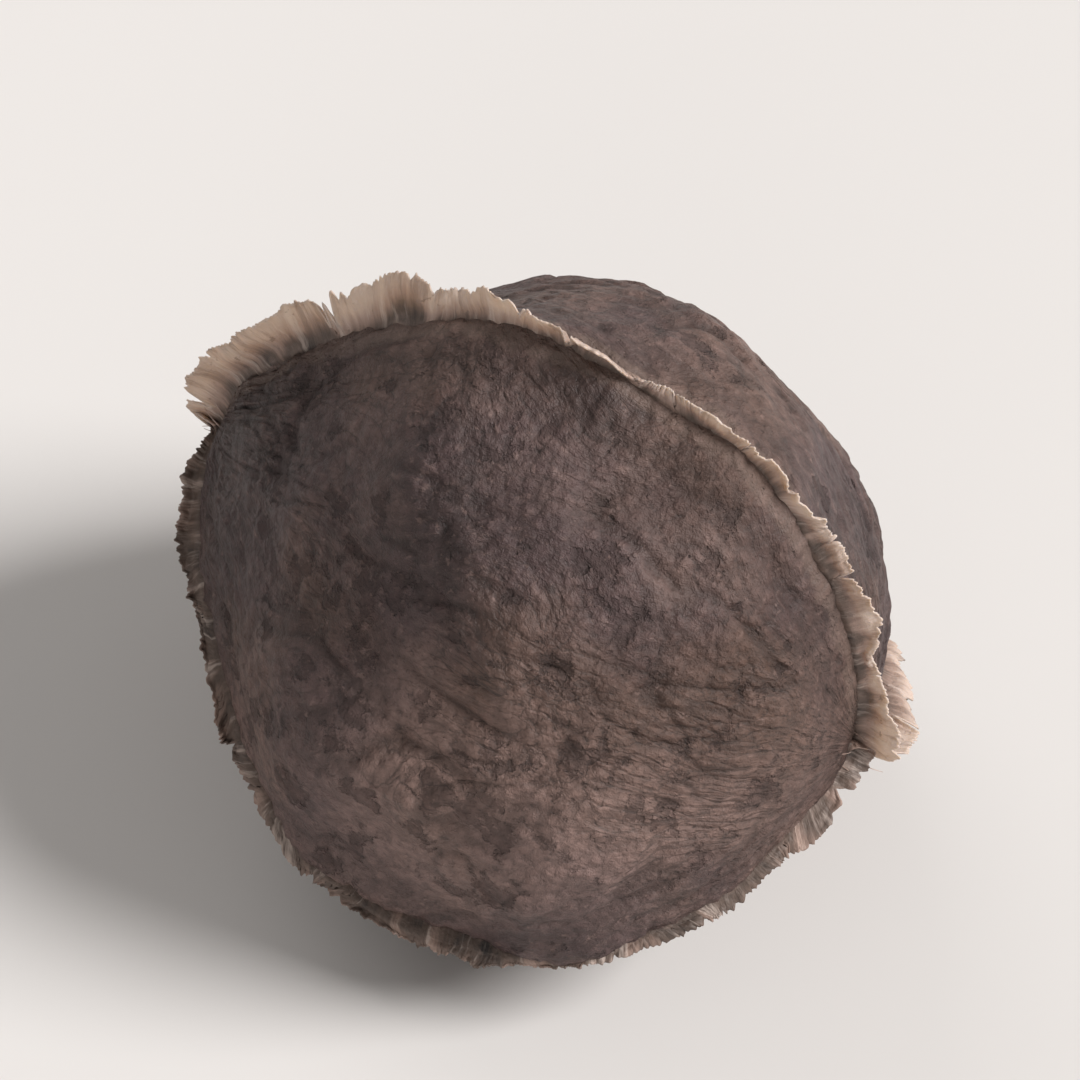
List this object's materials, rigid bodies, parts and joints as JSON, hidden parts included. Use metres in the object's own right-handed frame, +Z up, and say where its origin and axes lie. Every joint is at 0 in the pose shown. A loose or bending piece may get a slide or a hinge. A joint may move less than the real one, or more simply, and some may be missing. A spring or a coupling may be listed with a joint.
{
  "type": "moringa seed",
  "caption": "Dry three-angled seed with a corky grey-brown hull and a narrow, torn papery wing along each angle.",
  "frame": {"origin": "on the table under the middle of the seed's box, as it lies on one face with one wing up", "axes": "+X along the seed from its pointed base to its round tip, +Z up"},
  "size_m": [0.0098, 0.0084, 0.0085],
  "materials": {
    "hull": "dry, matt, corky and mottled",
    "wing": "papery, matt, torn at the margin"
  },
  "bodies": {
    "root": {"seed": "hull"}
  },
  "joints": []
}
